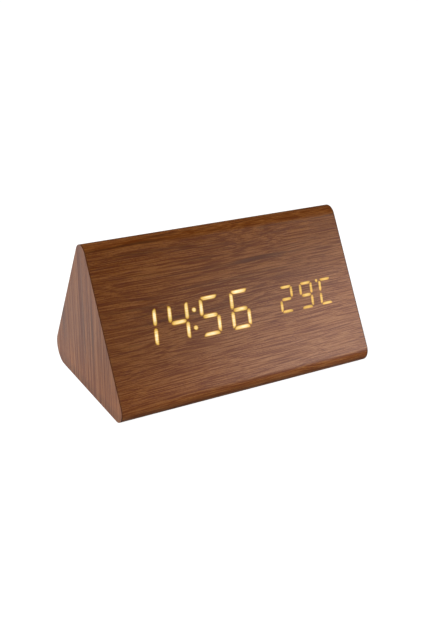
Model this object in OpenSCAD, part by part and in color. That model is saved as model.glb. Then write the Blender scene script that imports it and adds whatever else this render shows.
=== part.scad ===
// Desk alarm clock: a triangular wooden case whose LED digits shine through the veneer.
// Sizes are in millimetres. X runs along the case, the display faces -Y and Z is up.
// The origin is on the table, under the middle of the case.

/* [Case] */
// Overall length of the case
case_l = 150; // [135:1:190]
// Side of the triangular section, measured between its sharp corners
case_side = 100; // [96:1:118]
// Radius of the rounded front edge
front_r = 6.8; // [4:0.1:9]
// Radius of the rounded top edge
top_r = 6.6; // [4:0.1:9]
// Radius of the rounded rear edge
rear_r = 9.5; // [4:0.1:12]
// Thickness of the fibreboard walls
board_t = 6; // [5:0.5:8]
// Thickness of the wood veneer
veneer_t = 0.6; // [0.4:0.1:0.9]
// Thickness of the panels that plug the two ends
end_t = 6; // [4:0.5:7]
// Height of the rubber feet
foot_h = 0.8; // [0.6:0.1:2]
// Radius of the rubber feet
foot_r = 5; // [3:0.5:6]
// Distance from the ends of the case to the middle of the feet
foot_inset = 14; // [9:0.5:20]

/* [Time and temperature] */
// Hour shown
hour = 14; // [0:1:23]
// Minute shown
minute = 56; // [0:1:59]
// Temperature shown, in degrees
temperature = 29; // [0:1:50]

/* [Digits] */
// Distance of the digits' centre line up the front face, from its sharp lower corner
display_v = 46.8; // [40:0.1:52]
// Lean of the digits, in degrees
digit_lean = 7.5; // [0:0.5:12]
// Gap between two segments of a digit
segment_gap = 0.55; // [0.3:0.05:0.8]
// Height of the time digits
time_h = 20.8; // [16:0.1:24]
// Width between the upright strokes of the time digits, centre to centre
time_w = 9.7; // [8:0.1:11]
// Stroke of the time digits
time_stroke = 2.1; // [1.4:0.1:2.6]
// Distance between two time digits
time_pitch = 18.1; // [15:0.1:18.5]
// Distance of the colon from the left end of the case
time_x = 50.1; // [48:0.1:55]
// Diameter of the colon's dots
colon_d = 2.4; // [1.6:0.1:3]
// Distance of the colon's dots above and below the centre line
colon_v = 4.6; // [3:0.1:6]
// Height of the temperature digits
temp_h = 14.6; // [11:0.1:18]
// Width between the upright strokes of the temperature digits, centre to centre
temp_w = 7; // [5.5:0.1:8]
// Stroke of the temperature digits
temp_stroke = 1.4; // [1:0.1:1.8]
// Distance between two temperature digits
temp_pitch = 12.9; // [11:0.1:13.4]
// Distance of the middle temperature digit from the right end of the case
temp_x = 30.9; // [30:0.1:35]
// Diameter of the degree dot
degree_d = 1.4; // [1:0.1:1.6]

/* [Display module] */
// Thickness of the diffuser film behind the veneer
film_t = 0.25; // [0.1:0.05:0.5]
// Border of the reflector around the digits
reflector_margin = 2.4; // [2:0.1:3]
// Overlap of the display board on the front wall, above and below the window
board_lap = 8; // [7:0.5:9]
// Overlap of the display board on the front wall, left and right of the window
board_lap_x = 2.6; // [2:0.1:3]
// Thickness of the circuit boards
pcb_t = 1.6; // [1:0.1:2]
// Height of the LED chips
led_h = 0.45; // [0.3:0.05:0.8]

/* [Rear controls] */
// Width of the control panel
panel_w = 66; // [59:1:80]
// Height of the control panel
panel_h = 24; // [23:1:28]
// Corner radius of the control panel
panel_r = 4; // [2:0.5:6]
// Thickness of the control panel
panel_t = 2; // [1.6:0.1:3]
// Distance of the control panel's middle up the rear face, from its sharp lower corner
panel_v = 52; // [46:0.5:54]
// Radius of the button caps
button_r = 3; // [2:0.1:3.4]
// Height of the button caps above the panel
button_h = 1.2; // [0.9:0.1:2]
// Travel of the buttons
button_travel = 0.5; // [0.2:0.05:0.6]
// Distance between two buttons
button_pitch = 10; // [9.5:0.1:10.5]
// Clearance around a button cap in its hole
button_clearance = 0.15; // [0.1:0.05:0.3]
// Diameter of the power plug that the socket takes
plug_d = 3.5; // [3:0.1:4]
// Diameter of the pin in the power socket
plug_pin_d = 1.3; // [1:0.05:1.4]

/* [Battery box] */
// Diameter of a cell
cell_d = 10.5; // [10:0.1:11]
// Length of a cell with its nub
cell_l = 44.5; // [42:0.5:48]
// Gap around each cell
cell_gap = 0.5; // [0.3:0.1:0.8]
// Length of a contact spring
spring_l = 5; // [4:0.5:7]
// Wire diameter of a contact spring
spring_wire = 0.5; // [0.4:0.05:0.6]
// Wall thickness of the battery tray
tray_wall = 1.5; // [1.2:0.1:2]
// Thickness of the battery door
door_t = 1.8; // [1.6:0.1:2.4]
// Clearance around the battery door
door_gap = 0.3; // [0.2:0.05:0.5]
// Radius of the door's hinge pins
hinge_r = 0.6; // [0.5:0.05:0.7]

/* [Hidden] */
$fn = 64;
root3 = sqrt(3);
fit_gap = 0.15;            // clearance of a piece that drops into its seat
contact_gap = 0.05;        // clearance where two pieces only bear on each other
hinge_clearance = 0.08;    // radial clearance of the hinge pins
round_relief = 0.002;      // the roundings stand this proud, so that they cross the flats cleanly
wall = board_t + veneer_t; // depth of a wall from the outside

// Section of the case: the sharp corners lie on an equilateral triangle, and each rounding
// has its centre on the corner's bisector, so every layer is the same outline set in by its depth.
// The middle plane is shifted so that the rounded outline is centred on Y.
mid_y = (rear_r - front_r) * (root3 - 1) / 2;
apex_z = foot_h + case_side * root3 / 2;
front_centre = [mid_y - case_side / 2 + root3 * front_r, foot_h + front_r];
rear_centre = [mid_y + case_side / 2 - root3 * rear_r, foot_h + rear_r];
top_centre = [mid_y, apex_z - 2 * top_r];
tube_l = case_l - 2 * veneer_t; // length of the walls, between the end veneers
base_y = (front_centre[0] + rear_centre[0]) / 2; // middle of the flat underside

// Screws: small self-tapping screws, all of one thread size
screw_r = 1;
screw_head_r = 1.9;
screw_head_h = 1.3;
screw_clearance = 0.05;
through_clearance = 0.15;
through_r = screw_r + through_clearance;
cross_w = 0.55;
cross_l = 2.2;
cross_depth = 0.7;

// Display window: as large as the digits with their border
lean = tan(digit_lean);
time_size = [time_w, time_h, time_stroke];
temp_size = [temp_w, temp_h, temp_stroke];
lean_x = time_h / 2 * lean;
time_mid = time_x - case_l / 2; // the time keeps to the left end, the temperature to the right one
temp_mid = case_l / 2 - temp_x;
window_left = time_mid - 1.5 * time_pitch - (time_w + time_stroke) / 2 - lean_x - reflector_margin;
window_right = temp_mid + temp_pitch + (temp_w + temp_stroke) / 2 + temp_h / 2 * lean + reflector_margin;
window_w = window_right - window_left;
window_h = time_h + 2 * reflector_margin;
window_x = (window_left + window_right) / 2;
display_pcb_w = window_w + 2 * board_lap_x;
display_pcb_h = window_h + 2 * board_lap;
display_back = wall + pcb_t; // depth of the face that carries the loose components
display_screw_inset = 4;
display_screw_x = display_pcb_w / 2 - display_screw_inset;
display_screw_v = display_pcb_h / 2 - display_screw_inset;
display_screw_bite = 4;
led_w = 0.5;
led_l = 1;

// Strokes lit for 0 to 9 and for the letter C, by the usual letters of a seven-segment digit
LIT = ["abcdef", "bc", "abged", "abgcd", "fgbc", "afgcd", "afgecd", "abc", "abcdefg", "abcdfg", "afed"];
SEGMENTS = ["a", "b", "c", "d", "e", "f", "g"];
time_digits = [floor(hour / 10), hour % 10, floor(minute / 10), minute % 10];
temp_digits = [floor(temperature / 10), temperature % 10, 10];
// Each cell of the display: its place along the case, its size and the sign it shows
cells = concat(
    [for (i = [0:3]) [time_mid + (i - 1.5) * time_pitch, time_size, time_digits[i]]],
    [for (i = [0:2]) [temp_mid + (i - 1) * temp_pitch, temp_size, temp_digits[i]]]
);
// Each dot: its place along the case and above the centre line, and its diameter
degree_v = temp_h / 2 - temp_stroke / 2;
degree_x = temp_mid + temp_pitch - temp_w / 2 - temp_stroke / 2 - segment_gap - degree_d / 2;
dots = [
    [time_mid + colon_v * lean, colon_v, colon_d],
    [time_mid - colon_v * lean, -colon_v, colon_d],
    [degree_x + degree_v * lean, degree_v, degree_d]
];

// Components on the back of the display board, placed from the nearer end of the case
chip_x = 63;
chip_at = [chip_x - case_l / 2, display_v];
chip_size = [10, 7.5, 2.3];
crystal_x = 49;
crystal_at = [crystal_x - case_l / 2, display_v];
crystal_size = [11, 4.6, 3.5];
capacitor_x = 36;
capacitor_pitch = 10;
capacitor_drop = 8;
capacitor_at = [for (i = [-1, 1])
    [case_l / 2 - capacitor_x + i * capacitor_pitch / 2, display_v - capacitor_drop]];
capacitor_r = 3.15;
capacitor_l = 7;
buzzer_x = 27;
buzzer_rise = 6;
buzzer_at = [buzzer_x - case_l / 2, display_v + buzzer_rise];
buzzer_r = 6;
buzzer_l = 8.5;
buzzer_hole_r = 1;
buzzer_hole_l = 3;
power_socket_x = 33;
power_socket_drop = 6.8;
cable_socket_x = 63;
cable_socket_rise = 13.2;
socket_at = [
    [power_socket_x - case_l / 2, display_v - power_socket_drop],
    [case_l / 2 - cable_socket_x, display_v + cable_socket_rise]
];
socket_size = [9, 5, 6];

// Control panel: buttons and power socket along its width, as seen from behind
panel_lip = 6;
panel_lip_v = 2.5;
opening_w = panel_w - 2 * panel_lip;
opening_h = panel_h - 2 * panel_lip_v;
opening_r = 1.5;
collar_l = 3.2;
collar_t = 1.4;
button_mid = 2;
button_x = [for (i = [-1:1]) button_mid + i * button_pitch];
jack_x = -17;
vent_x = 20;
vent_w = 1.2;
vent_l = 6;
vent_pitch = 2.6;
button_flange_w = 1;
button_flange_r = button_r + button_flange_w;
button_flange_t = 0.8;
button_chamfer = 0.4;
stem_r = 1.5;
stem_l = 0.6;
mark_depth = 0.2;
mark_size = 1.5;
switch_w = 6;
switch_h = 3.5;
plunger_r = 1.75;
plunger_clearance = 0.1;
plunger_h = 0.8;
plunger_bite = 0.6;
flange_top = panel_t + contact_gap;
plunger_top = flange_top + button_flange_t + stem_l;
switch_top = plunger_top + plunger_h;
control_front = switch_top + switch_h; // depth of the control board's outer face
control_back = control_front + pcb_t;
control_pcb_margin = 1;
control_pcb_w = opening_w - 2 * fit_gap - 2 * control_pcb_margin;
control_pcb_h = opening_h - 2 * fit_gap - 2 * control_pcb_margin;
jack_w = 7.4;
post_inset = 3;
post_r = 2.2;
post_x = control_pcb_w / 2 - post_inset;
post_v = jack_w / 2 + fit_gap + post_r; // the posts stand above and below the power socket
post_bite = 4;
panel_screw_x = panel_w / 2 - panel_lip / 2;
panel_screw_bite = 3.2;
countersink_h = screw_head_r - screw_r;
jack_nose_r = 3.2;
jack_recess = 0.3;
jack_floor = 1.2;
plug_clearance = 0.1;
jack_bore_r = plug_d / 2 + plug_clearance;
jack_pin_back = 1.2;
jack_pin_step = 0.35;
jack_pin_root_r = plug_pin_d / 2 + jack_pin_step;
sensor_r = 1.2;
sensor_l = 3;
sensor_leg_r = 0.25;
sensor_leg_pitch = 1.6;
sensor_gap = 1;
sensor_front = panel_t + sensor_gap;
cable_plug_at = [button_mid, panel_v];
cable_plug_size = [8, 4, 3];

// Battery box: depths from the underside, cells side by side and pointing alternate ways
cell_pitch = cell_d + cell_gap;
cell_y = [for (i = [0:3]) (i - 1.5) * cell_pitch];
cell_way = [for (i = [0:3]) i % 2 == 0 ? 1 : -1];
nub_r = 1.9;
nub_l = 1;
contact_t = 0.4;
contact_w = 8;
contact_h = 8;
tab_l = 3;
tab_w = 2.4;
well_x = cell_l + spring_l + 2 * contact_t + 4 * contact_gap;
well_y = 4 * cell_pitch + cell_gap;
door_recess = 0.2;
door_in = door_recess + door_t + contact_gap;
cell_depth = door_in + cell_gap + cell_d / 2;
roof_in = cell_depth + cell_d / 2 + cell_gap;
roof_out = roof_in + tray_wall;
rib_w = 1.2;
rib_h = 3;
door_x = well_x + 2 * tray_wall;
door_y = well_y + 2 * tray_wall;
rim_x = 7;
rim_y = 3;
tray_x = door_x + 2 * door_gap + 2 * rim_x;
tray_y = door_y + 2 * door_gap + 2 * rim_y;
tray_r = 3;
shoulder_in = door_in;
shoulder_out = shoulder_in + tray_wall;
tray_screw_x = tray_x / 2 - rim_x / 2;
tray_screw_y = tray_y / 4;
tray_screw_recess = 0.3;
tray_screw_sink = screw_head_h + tray_screw_recess;
tray_screw_bite = 1.8;
hinge_l = 1.6;
hinge_y = -door_y / 2 + door_t / 2;
hinge_depth = door_recess + door_t / 2;
notch_r = 7;
notch_depth = 1;
grip_w = 1;
grip_depth = 0.5;
grip_pitch = 2.5;
grip_l = 22;
detent_r = 0.6;
detent_y = door_y / 4;
spring_turns = 4;
spring_wide_r = 3.6;
spring_narrow_r = 2;
spring_sides = 6;
spring_rings = 8;

// Routes of the inner leads, from the battery tabs and the control board to the display board
lead_r = 0.7;
cable_r = 1.5;
lead_sides = 8;
lead_steps = 4;
lead_straight = 4; // straight run of a lead where it leaves its contact or socket
function front_point(x, v, depth) =
    [x, mid_y - case_side / 2 + v / 2 + depth * root3 / 2, foot_h + v * root3 / 2 - depth / 2];
function rear_point(x, v, depth) =
    [-x, mid_y + case_side / 2 - v / 2 - depth * root3 / 2, foot_h + v * root3 / 2 - depth / 2];
function base_point(x, y, depth) = [x, base_y - y, foot_h + depth];
tab_end = -well_x / 2 - tray_wall - tab_l - contact_gap;
function from_tab(i) =
    [for (run = [0, 0.4, 1]) base_point(tab_end - run * lead_straight, cell_y[i], cell_depth)];
function to_socket(i, shift) =
    [for (run = [1, 0.4, 0])
        front_point(socket_at[i][0] + shift, socket_at[i][1],
            display_back + socket_size[2] + contact_gap + run * lead_straight)];
function from_plug() =
    [for (run = [0, 0.4, 1])
        rear_point(cable_plug_at[0], cable_plug_at[1],
            control_back + cable_plug_size[2] + contact_gap + run * lead_straight)];
// Bends of a lead: run beyond its tab, shift across the cells, and rise above their middle
red_bends = [[9, 2, 5], [10, cell_pitch, 14]];
black_bends = [[11, -3, 2], [14, -cell_pitch, 10]];
function bends(i, steps) =
    [for (s = steps) base_point(tab_end - s[0], cell_y[i] + s[1], cell_depth + s[2])];
lead_spread = 2; // half the distance between the two leads at their socket
red_route = concat(from_tab(0), bends(0, red_bends), to_socket(0, lead_spread));
black_route = concat(from_tab(3), bends(3, black_bends), to_socket(0, -lead_spread));
cable_bend_rise = 3.2; // bend of the cable above the digits' centre line and behind the board
cable_bend_in = 13;
cable_bend_x = (socket_at[1][0] - cable_plug_at[0]) / 2;
cable_bend = front_point(cable_bend_x, display_v + cable_bend_rise, display_back + cable_bend_in);
cable_route = concat(from_plug(), [cable_bend], to_socket(1, 0));

// Frames: children are drawn flat, with the local Z axis pointing out of the face
module on_front() {
    translate([0, mid_y - case_side / 2, foot_h]) rotate([60, 0, 0]) children();
}
module on_rear() {
    translate([0, mid_y + case_side / 2, foot_h]) rotate([60, 0, 180]) children();
}
module on_base() {
    translate([0, base_y, foot_h]) rotate([180, 0, 0]) children();
}
module along_case(length) {
    rotate([90, 0, 90]) linear_extrude(length, center = true) children();
}
// Extrudes an outline between two depths below a face
module layer(from, to) {
    translate([0, 0, -to]) linear_extrude(to - from) children();
}

// Outlines
function on_circle(centre, r, angle) = centre + r * [cos(angle), sin(angle)];
module section(inset) {
    polygon([
        on_circle(front_centre, front_r - inset, 150), on_circle(front_centre, front_r - inset, 270),
        on_circle(rear_centre, rear_r - inset, 270), on_circle(rear_centre, rear_r - inset, 30),
        on_circle(top_centre, top_r - inset, 30), on_circle(top_centre, top_r - inset, 150)
    ]);
    translate(front_centre) circle(front_r - inset + round_relief);
    translate(rear_centre) rotate(180) circle(rear_r - inset + round_relief);
    translate(top_centre) circle(top_r - inset + round_relief);
}
function sharp_front(inset) = [mid_y - case_side / 2 + root3 * inset, foot_h + inset];
function sharp_rear(inset) = [mid_y + case_side / 2 - root3 * inset, foot_h + inset];
function sharp_top(inset) = [mid_y, apex_z - 2 * inset];
section_middle = [mid_y, foot_h + case_side / (2 * root3)];
module cavity(inset) {
    polygon([sharp_front(inset), sharp_rear(inset), sharp_top(inset)]);
}
module rounded_rect(w, h, r) {
    square([w, h - 2 * r], center = true);
    square([w - 2 * r, h], center = true);
    for (x = [-1, 1], y = [-1, 1]) translate([x * (w / 2 - r), y * (h / 2 - r)]) circle(r);
}
module panel_outline(grow) {
    translate([0, panel_v]) rounded_rect(panel_w + 2 * grow, panel_h + 2 * grow, panel_r + grow);
}
module tray_outline(grow) {
    rounded_rect(tray_x + 2 * grow, tray_y + 2 * grow, tray_r + grow);
}
module window_outline(grow_x, grow_v) {
    translate([window_x, display_v]) square([window_w + 2 * grow_x, window_h + 2 * grow_v], center = true);
}
module pilot_outline() {
    circle(screw_r + screw_clearance);
}
module rect_ring(w, h, r, t) {
    difference() {
        rounded_rect(w, h, r);
        square([w - 2 * t, h - 2 * t], center = true);
    }
}

// Seven-segment digits: mitred at the corners, pointed at the waist, and leaning
function flipped(points, x, y) =
    let (turned = [for (p = points) [p[0] * x, p[1] * y]], last = len(points) - 1)
    x * y > 0 ? turned : [for (i = [0:last]) turned[last - i]];
function upright(size, half, gap) =
    let (middle = size[0] / 2, outer = middle + half, inner = middle - half, top = size[1] / 2)
    [
        [inner, top - 2 * half - gap], [inner, half + gap], [middle, gap],
        [outer, half + gap], [outer, top - gap]
    ];
function crossbar(size, half, gap) =
    let (outer = size[0] / 2 + half - gap, inner = size[0] / 2 - half - gap, top = size[1] / 2)
    [[-inner, top - 2 * half], [inner, top - 2 * half], [outer, top], [-outer, top]];
function waist(size, half, gap) =
    let (tip = size[0] / 2 - gap, inner = tip - half)
    [[-tip, 0], [-inner, -half], [inner, -half], [tip, 0], [inner, half], [-inner, half]];
function segment_points(size, name) =
    let (half = size[2] / 2, gap = segment_gap / sqrt(2))
    name == "a" ? crossbar(size, half, gap) :
    name == "b" ? upright(size, half, gap) :
    name == "c" ? flipped(upright(size, half, gap), 1, -1) :
    name == "d" ? flipped(crossbar(size, half, gap), 1, -1) :
    name == "e" ? flipped(upright(size, half, gap), -1, -1) :
    name == "f" ? flipped(upright(size, half, gap), -1, 1) :
    waist(size, half, gap);
function leaning(points) = [for (p = points) [p[0] + p[1] * lean, p[1]]];
function is_lit(sign, name) = len(search(name, LIT[sign])) > 0;
module segments(only_lit) {
    for (cell = cells, name = SEGMENTS)
        if (!only_lit || is_lit(cell[2], name))
            translate([cell[0], display_v]) polygon(leaning(segment_points(cell[1], name)));
    for (dot = dots) translate([dot[0], display_v + dot[1]]) circle(dot[2] / 2);
}
// Middle of a segment, where its LED sits
function mean(points) = [for (k = [0, 1]) [for (p = points) p[k]] * [for (p = points) 1 / len(points)]];
led_places = concat(
    [for (cell = cells, name = SEGMENTS)
        [cell[0], display_v] + mean(leaning(segment_points(cell[1], name)))],
    [for (dot = dots) [dot[0], display_v + dot[1]]]
);

// Fasteners, drawn from the face that the head rests on, pointing down
module pan_screw(length) {
    difference() {
        union() {
            cylinder(screw_head_h, r = screw_head_r);
            translate([0, 0, -length]) cylinder(length, r = screw_r);
        }
        cross_recess(screw_head_h);
    }
}
module countersunk_screw(length) {
    difference() {
        union() {
            translate([0, 0, -countersink_h]) cylinder(countersink_h, r1 = screw_r, r2 = screw_head_r);
            translate([0, 0, -length]) cylinder(length - countersink_h, r = screw_r);
        }
        cross_recess(0);
    }
}
module cross_recess(top) {
    translate([0, 0, top - cross_depth]) {
        translate([-cross_l / 2, -cross_w / 2, 0]) cube([cross_l, cross_w, 2 * cross_depth]);
        translate([-cross_w / 2, -cross_l / 2, 0]) cube([cross_w, cross_l, 2 * cross_depth]);
    }
}
module display_screw_places() {
    for (x = [-1, 1], y = [-1, 1])
        translate([window_x + x * display_screw_x, display_v + y * display_screw_v]) children();
}
module panel_screw_places() {
    for (x = [-1, 1]) translate([x * panel_screw_x, panel_v]) children();
}
module control_screw_places() {
    for (side = [-1, 1]) translate([side * post_x, panel_v - side * post_v]) children();
}
module tray_screw_places() {
    for (x = [-1, 1], y = [-1, 1]) translate([x * tray_screw_x, y * tray_screw_y]) children();
}

// Case: three mitred boards, two plug panels, a wrapped veneer and two end veneers
module wall_board(corner_a, corner_b) {
    along_case(tube_l) difference() {
        intersection() {
            section(veneer_t);
            polygon([section_middle, corner_a, corner_b]);
        }
        cavity(wall);
    }
}
module front_board() {
    color("burlywood") difference() {
        wall_board(sharp_top(0), sharp_front(0));
        on_front() {
            layer(0, wall + 1) window_outline(fit_gap, fit_gap);
            display_screw_places() layer(wall - display_screw_bite - fit_gap, wall + 1) pilot_outline();
        }
    }
}
module rear_board() {
    color("burlywood") difference() {
        wall_board(sharp_rear(0), sharp_top(0));
        on_rear() {
            layer(-1, panel_t) panel_outline(fit_gap);
            translate([0, panel_v]) layer(0, wall + 1) rounded_rect(opening_w, opening_h, opening_r);
            panel_screw_places() layer(0, panel_t + panel_screw_bite + fit_gap) pilot_outline();
        }
    }
}
module base_board() {
    color("burlywood") difference() {
        wall_board(sharp_front(0), sharp_rear(0));
        on_base() {
            layer(-1, shoulder_out) tray_outline(fit_gap);
            layer(0, wall + 1) square([door_x + 2 * fit_gap, door_y + 2 * fit_gap], center = true);
            tray_screw_places() layer(0, shoulder_out + tray_screw_bite + fit_gap) pilot_outline();
        }
    }
}
module end_panel(side) {
    color("burlywood") translate([side * (tube_l - end_t) / 2, 0, 0])
        along_case(end_t) cavity(wall + fit_gap);
}
module veneer_wrap() {
    color("saddlebrown") difference() {
        along_case(tube_l) difference() {
            section(0);
            section(veneer_t);
        }
        on_front() layer(-1, veneer_t + 1) segments(true);
        on_rear() layer(-1, veneer_t + 1) panel_outline(fit_gap);
        on_base() layer(-1, veneer_t + 1) tray_outline(fit_gap);
    }
}
module end_veneer(side) {
    color("sienna") translate([side * (case_l - veneer_t) / 2, 0, 0]) along_case(veneer_t) section(0);
}
module foot_pads() {
    reach_y = (rear_centre[0] - front_centre[0]) / 2 - foot_r;
    color("dimgray") on_base() for (x = [-1, 1], y = [-1, 1])
        translate([x * (case_l / 2 - foot_inset), y * reach_y]) layer(-foot_h, 0) circle(foot_r);
}

// Display: lit segments in the veneer, film, reflector, LEDs and their board
module lit_segments() {
    color("khaki") on_front() layer(0, veneer_t) segments(true);
}
module diffuser_film() {
    color("white") on_front() layer(veneer_t, veneer_t + film_t) window_outline(0, 0);
}
module reflector_block() {
    color("whitesmoke") on_front() difference() {
        layer(veneer_t + film_t, wall) window_outline(0, 0);
        layer(0, wall + 1) segments(false);
    }
}
module led_chips() {
    color("gold") on_front() for (place = led_places)
        translate(place) layer(wall - led_h, wall) square([led_w, led_l], center = true);
}
module display_board() {
    color("seagreen") on_front() difference() {
        layer(wall, display_back) window_outline(board_lap_x, board_lap);
        display_screw_places() layer(wall - 1, display_back + 1) circle(through_r);
    }
}
module display_screws() {
    color("silver") on_front() display_screw_places()
        translate([0, 0, -display_back]) rotate([180, 0, 0]) pan_screw(pcb_t + display_screw_bite);
}
module controller_chip() {
    color("black") on_front() translate(chip_at) layer(display_back, display_back + chip_size[2])
        square([chip_size[0], chip_size[1]], center = true);
}
module crystal_can() {
    end_r = crystal_size[1] / 2;
    half = crystal_size[0] / 2 - end_r;
    color("silver") on_front() translate(crystal_at)
        layer(display_back, display_back + crystal_size[2]) {
            square([2 * half, crystal_size[1]], center = true);
            for (x = [-half, half]) translate([x, 0]) circle(end_r);
        }
}
module capacitors() {
    color("navy") on_front() for (place = capacitor_at)
        translate(place) layer(display_back, display_back + capacitor_l) circle(capacitor_r);
}
module buzzer() {
    buzzer_back = display_back + buzzer_l;
    color("black") on_front() translate(buzzer_at) difference() {
        layer(display_back, buzzer_back) circle(buzzer_r);
        layer(buzzer_back - buzzer_hole_l, buzzer_back + 1) circle(buzzer_hole_r);
    }
}
module wire_sockets() {
    color("ivory") on_front() for (place = socket_at)
        translate(place) layer(display_back, display_back + socket_size[2])
            square([socket_size[0], socket_size[1]], center = true);
}

// Rear controls: panel, its board, three buttons on tact switches, the power socket and the sensor
module control_panel() {
    color("#222222") on_rear() difference() {
        union() {
            layer(0, panel_t) panel_outline(0);
            translate([0, panel_v]) layer(panel_t, panel_t + collar_l)
                rect_ring(opening_w - 2 * fit_gap, opening_h - 2 * fit_gap, opening_r, collar_t);
            control_screw_places() layer(panel_t, control_front) circle(post_r);
        }
        for (x = button_x) translate([x, panel_v])
            layer(-1, panel_t + 1) circle(button_r + button_clearance);
        translate([jack_x, panel_v]) layer(-1, panel_t + 1) circle(jack_nose_r + fit_gap);
        for (i = [-1:1]) translate([vent_x + i * vent_pitch, panel_v]) layer(-1, panel_t + 1)
            square([vent_w, vent_l], center = true);
        control_screw_places()
            layer(control_front - post_bite - fit_gap, control_front + 1) pilot_outline();
        panel_screw_places() {
            layer(-1, panel_t + 1) circle(through_r);
            translate([0, 0, -countersink_h - contact_gap]) countersink();
        }
    }
}
module countersink() {
    seat_r = screw_head_r + 2 * contact_gap;
    cylinder(countersink_h + contact_gap, r1 = screw_r + contact_gap, r2 = seat_r);
}
module panel_screws() {
    color("dimgray") on_rear() panel_screw_places() countersunk_screw(panel_t + panel_screw_bite);
}
module control_board() {
    color("seagreen") on_rear() difference() {
        translate([0, panel_v]) layer(control_front, control_back)
            square([control_pcb_w, control_pcb_h], center = true);
        control_screw_places() layer(control_front - 1, control_back + 1) circle(through_r);
    }
}
module control_screws() {
    color("silver") on_rear() control_screw_places()
        translate([0, 0, -control_back]) rotate([180, 0, 0]) pan_screw(pcb_t + post_bite);
}
module cable_plug() {
    color("ivory") on_rear() translate(cable_plug_at)
        layer(control_back, control_back + cable_plug_size[2])
            square([cable_plug_size[0], cable_plug_size[1]], center = true);
}
module button(x) {
    color("#333333") on_rear() translate([x, panel_v]) difference() {
        union() {
            translate([0, 0, button_h - button_chamfer])
                cylinder(button_chamfer, r1 = button_r, r2 = button_r - button_chamfer);
            layer(button_chamfer - button_h, flange_top) circle(button_r);
            layer(flange_top, flange_top + button_flange_t) circle(button_flange_r);
            layer(flange_top + button_flange_t, plunger_top) circle(stem_r);
        }
        translate([0, 0, button_h - mark_depth]) linear_extrude(1) children();
    }
}
module bar_mark() {
    square([2 * mark_size, mark_size / 2], center = true);
}
module arrow_mark(way) {
    base = -mark_size / 2;
    polygon(flipped([[-mark_size, base], [mark_size, base], [0, mark_size]], 1, way));
}
module plunger(x) {
    color("black") on_rear() translate([x, panel_v])
        layer(plunger_top, switch_top + plunger_bite) circle(plunger_r);
}
module switch_bodies() {
    bore_depth = plunger_bite + button_travel + plunger_clearance;
    color("silver") on_rear() for (x = button_x) translate([x, panel_v]) difference() {
        layer(switch_top, control_front) square(switch_w, center = true);
        layer(switch_top - 1, switch_top + bore_depth) circle(plunger_r + plunger_clearance);
    }
}
module power_jack() {
    jack_in = panel_t + contact_gap;
    color("black") on_rear() translate([jack_x, panel_v]) difference() {
        union() {
            layer(jack_recess, jack_in) circle(jack_nose_r);
            layer(jack_in, control_front) square(jack_w, center = true);
        }
        layer(-1, control_front - jack_floor) circle(jack_bore_r);
        layer(-1, control_front + 1) circle(jack_pin_root_r + contact_gap);
    }
}
module jack_pin() {
    color("silver") on_rear() translate([jack_x, panel_v]) {
        layer(jack_pin_back, control_front - jack_floor) circle(plug_pin_d / 2);
        layer(control_front - jack_floor, control_front) circle(jack_pin_root_r);
    }
}
module temperature_sensor() {
    color("black") on_rear() translate([vent_x, panel_v]) {
        layer(sensor_front, sensor_front + sensor_l) circle(sensor_r);
        for (x = [-1, 1]) translate([x * sensor_leg_pitch / 2, 0])
            layer(sensor_front + sensor_l / 2, control_front) circle(sensor_leg_r);
    }
}

// Battery box: tray, door, cells and contacts, drawn from the underside
module battery_tray() {
    color("#262626") on_base() difference() {
        union() {
            layer(0, shoulder_out) rounded_rect(tray_x, tray_y, tray_r);
            layer(shoulder_in, roof_out) square([door_x, door_y], center = true);
        }
        layer(-1, door_in) square([door_x + 2 * door_gap, door_y + 2 * door_gap], center = true);
        difference() {
            layer(door_in - 1, roof_in) square([well_x, well_y], center = true);
            for (i = [0:2]) translate([0, (cell_y[i] + cell_y[i + 1]) / 2])
                layer(roof_in - rib_h, roof_in + 1) square([cell_l / 2, rib_w], center = true);
        }
        tray_screw_places() {
            layer(-1, tray_screw_sink) circle(screw_head_r + fit_gap);
            layer(-1, shoulder_out + 1) circle(through_r);
        }
        for (side = [-1, 1]) hinge_pin(side, hinge_r + hinge_clearance, hinge_l + fit_gap);
        for (i = [0, 3]) translate([-well_x / 2 - tray_wall / 2, cell_y[i]])
            layer(cell_depth - contact_t / 2 - contact_gap, cell_depth + contact_t / 2 + contact_gap)
                square([2 * tray_wall, tab_w + 2 * contact_gap], center = true);
    }
}
module hinge_pin(side, r, reach) {
    translate([side * (door_x + reach + door_gap) / 2, hinge_y, -hinge_depth]) rotate([0, 90, 0])
        cylinder(reach + door_gap, r = r, center = true);
}
module tray_screws() {
    color("dimgray") on_base() tray_screw_places() translate([0, 0, -tray_screw_sink])
        pan_screw(shoulder_out - tray_screw_sink + tray_screw_bite);
}
module battery_door() {
    plate_y = door_y - door_t / 2;
    door_back = door_recess + door_t;
    detent_x = door_x / 2 - detent_r + door_gap - contact_gap;
    color("#262626") on_base() difference() {
        union() {
            translate([0, (door_y - plate_y) / 2]) layer(door_recess, door_back)
                square([door_x, plate_y], center = true);
            translate([0, hinge_y, -hinge_depth]) rotate([0, 90, 0])
                cylinder(door_x, r = door_t / 2, center = true);
            for (side = [-1, 1]) {
                hinge_pin(side, hinge_r, hinge_l);
                translate([side * detent_x, detent_y]) layer(door_recess, door_back) circle(detent_r);
            }
        }
        translate([0, door_y / 2]) layer(0, door_recess + notch_depth) circle(notch_r);
        for (i = [1:4]) translate([0, door_y / 2 - notch_r - i * grip_pitch])
            layer(0, door_recess + grip_depth) square([grip_l, grip_w], center = true);
    }
}
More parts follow.
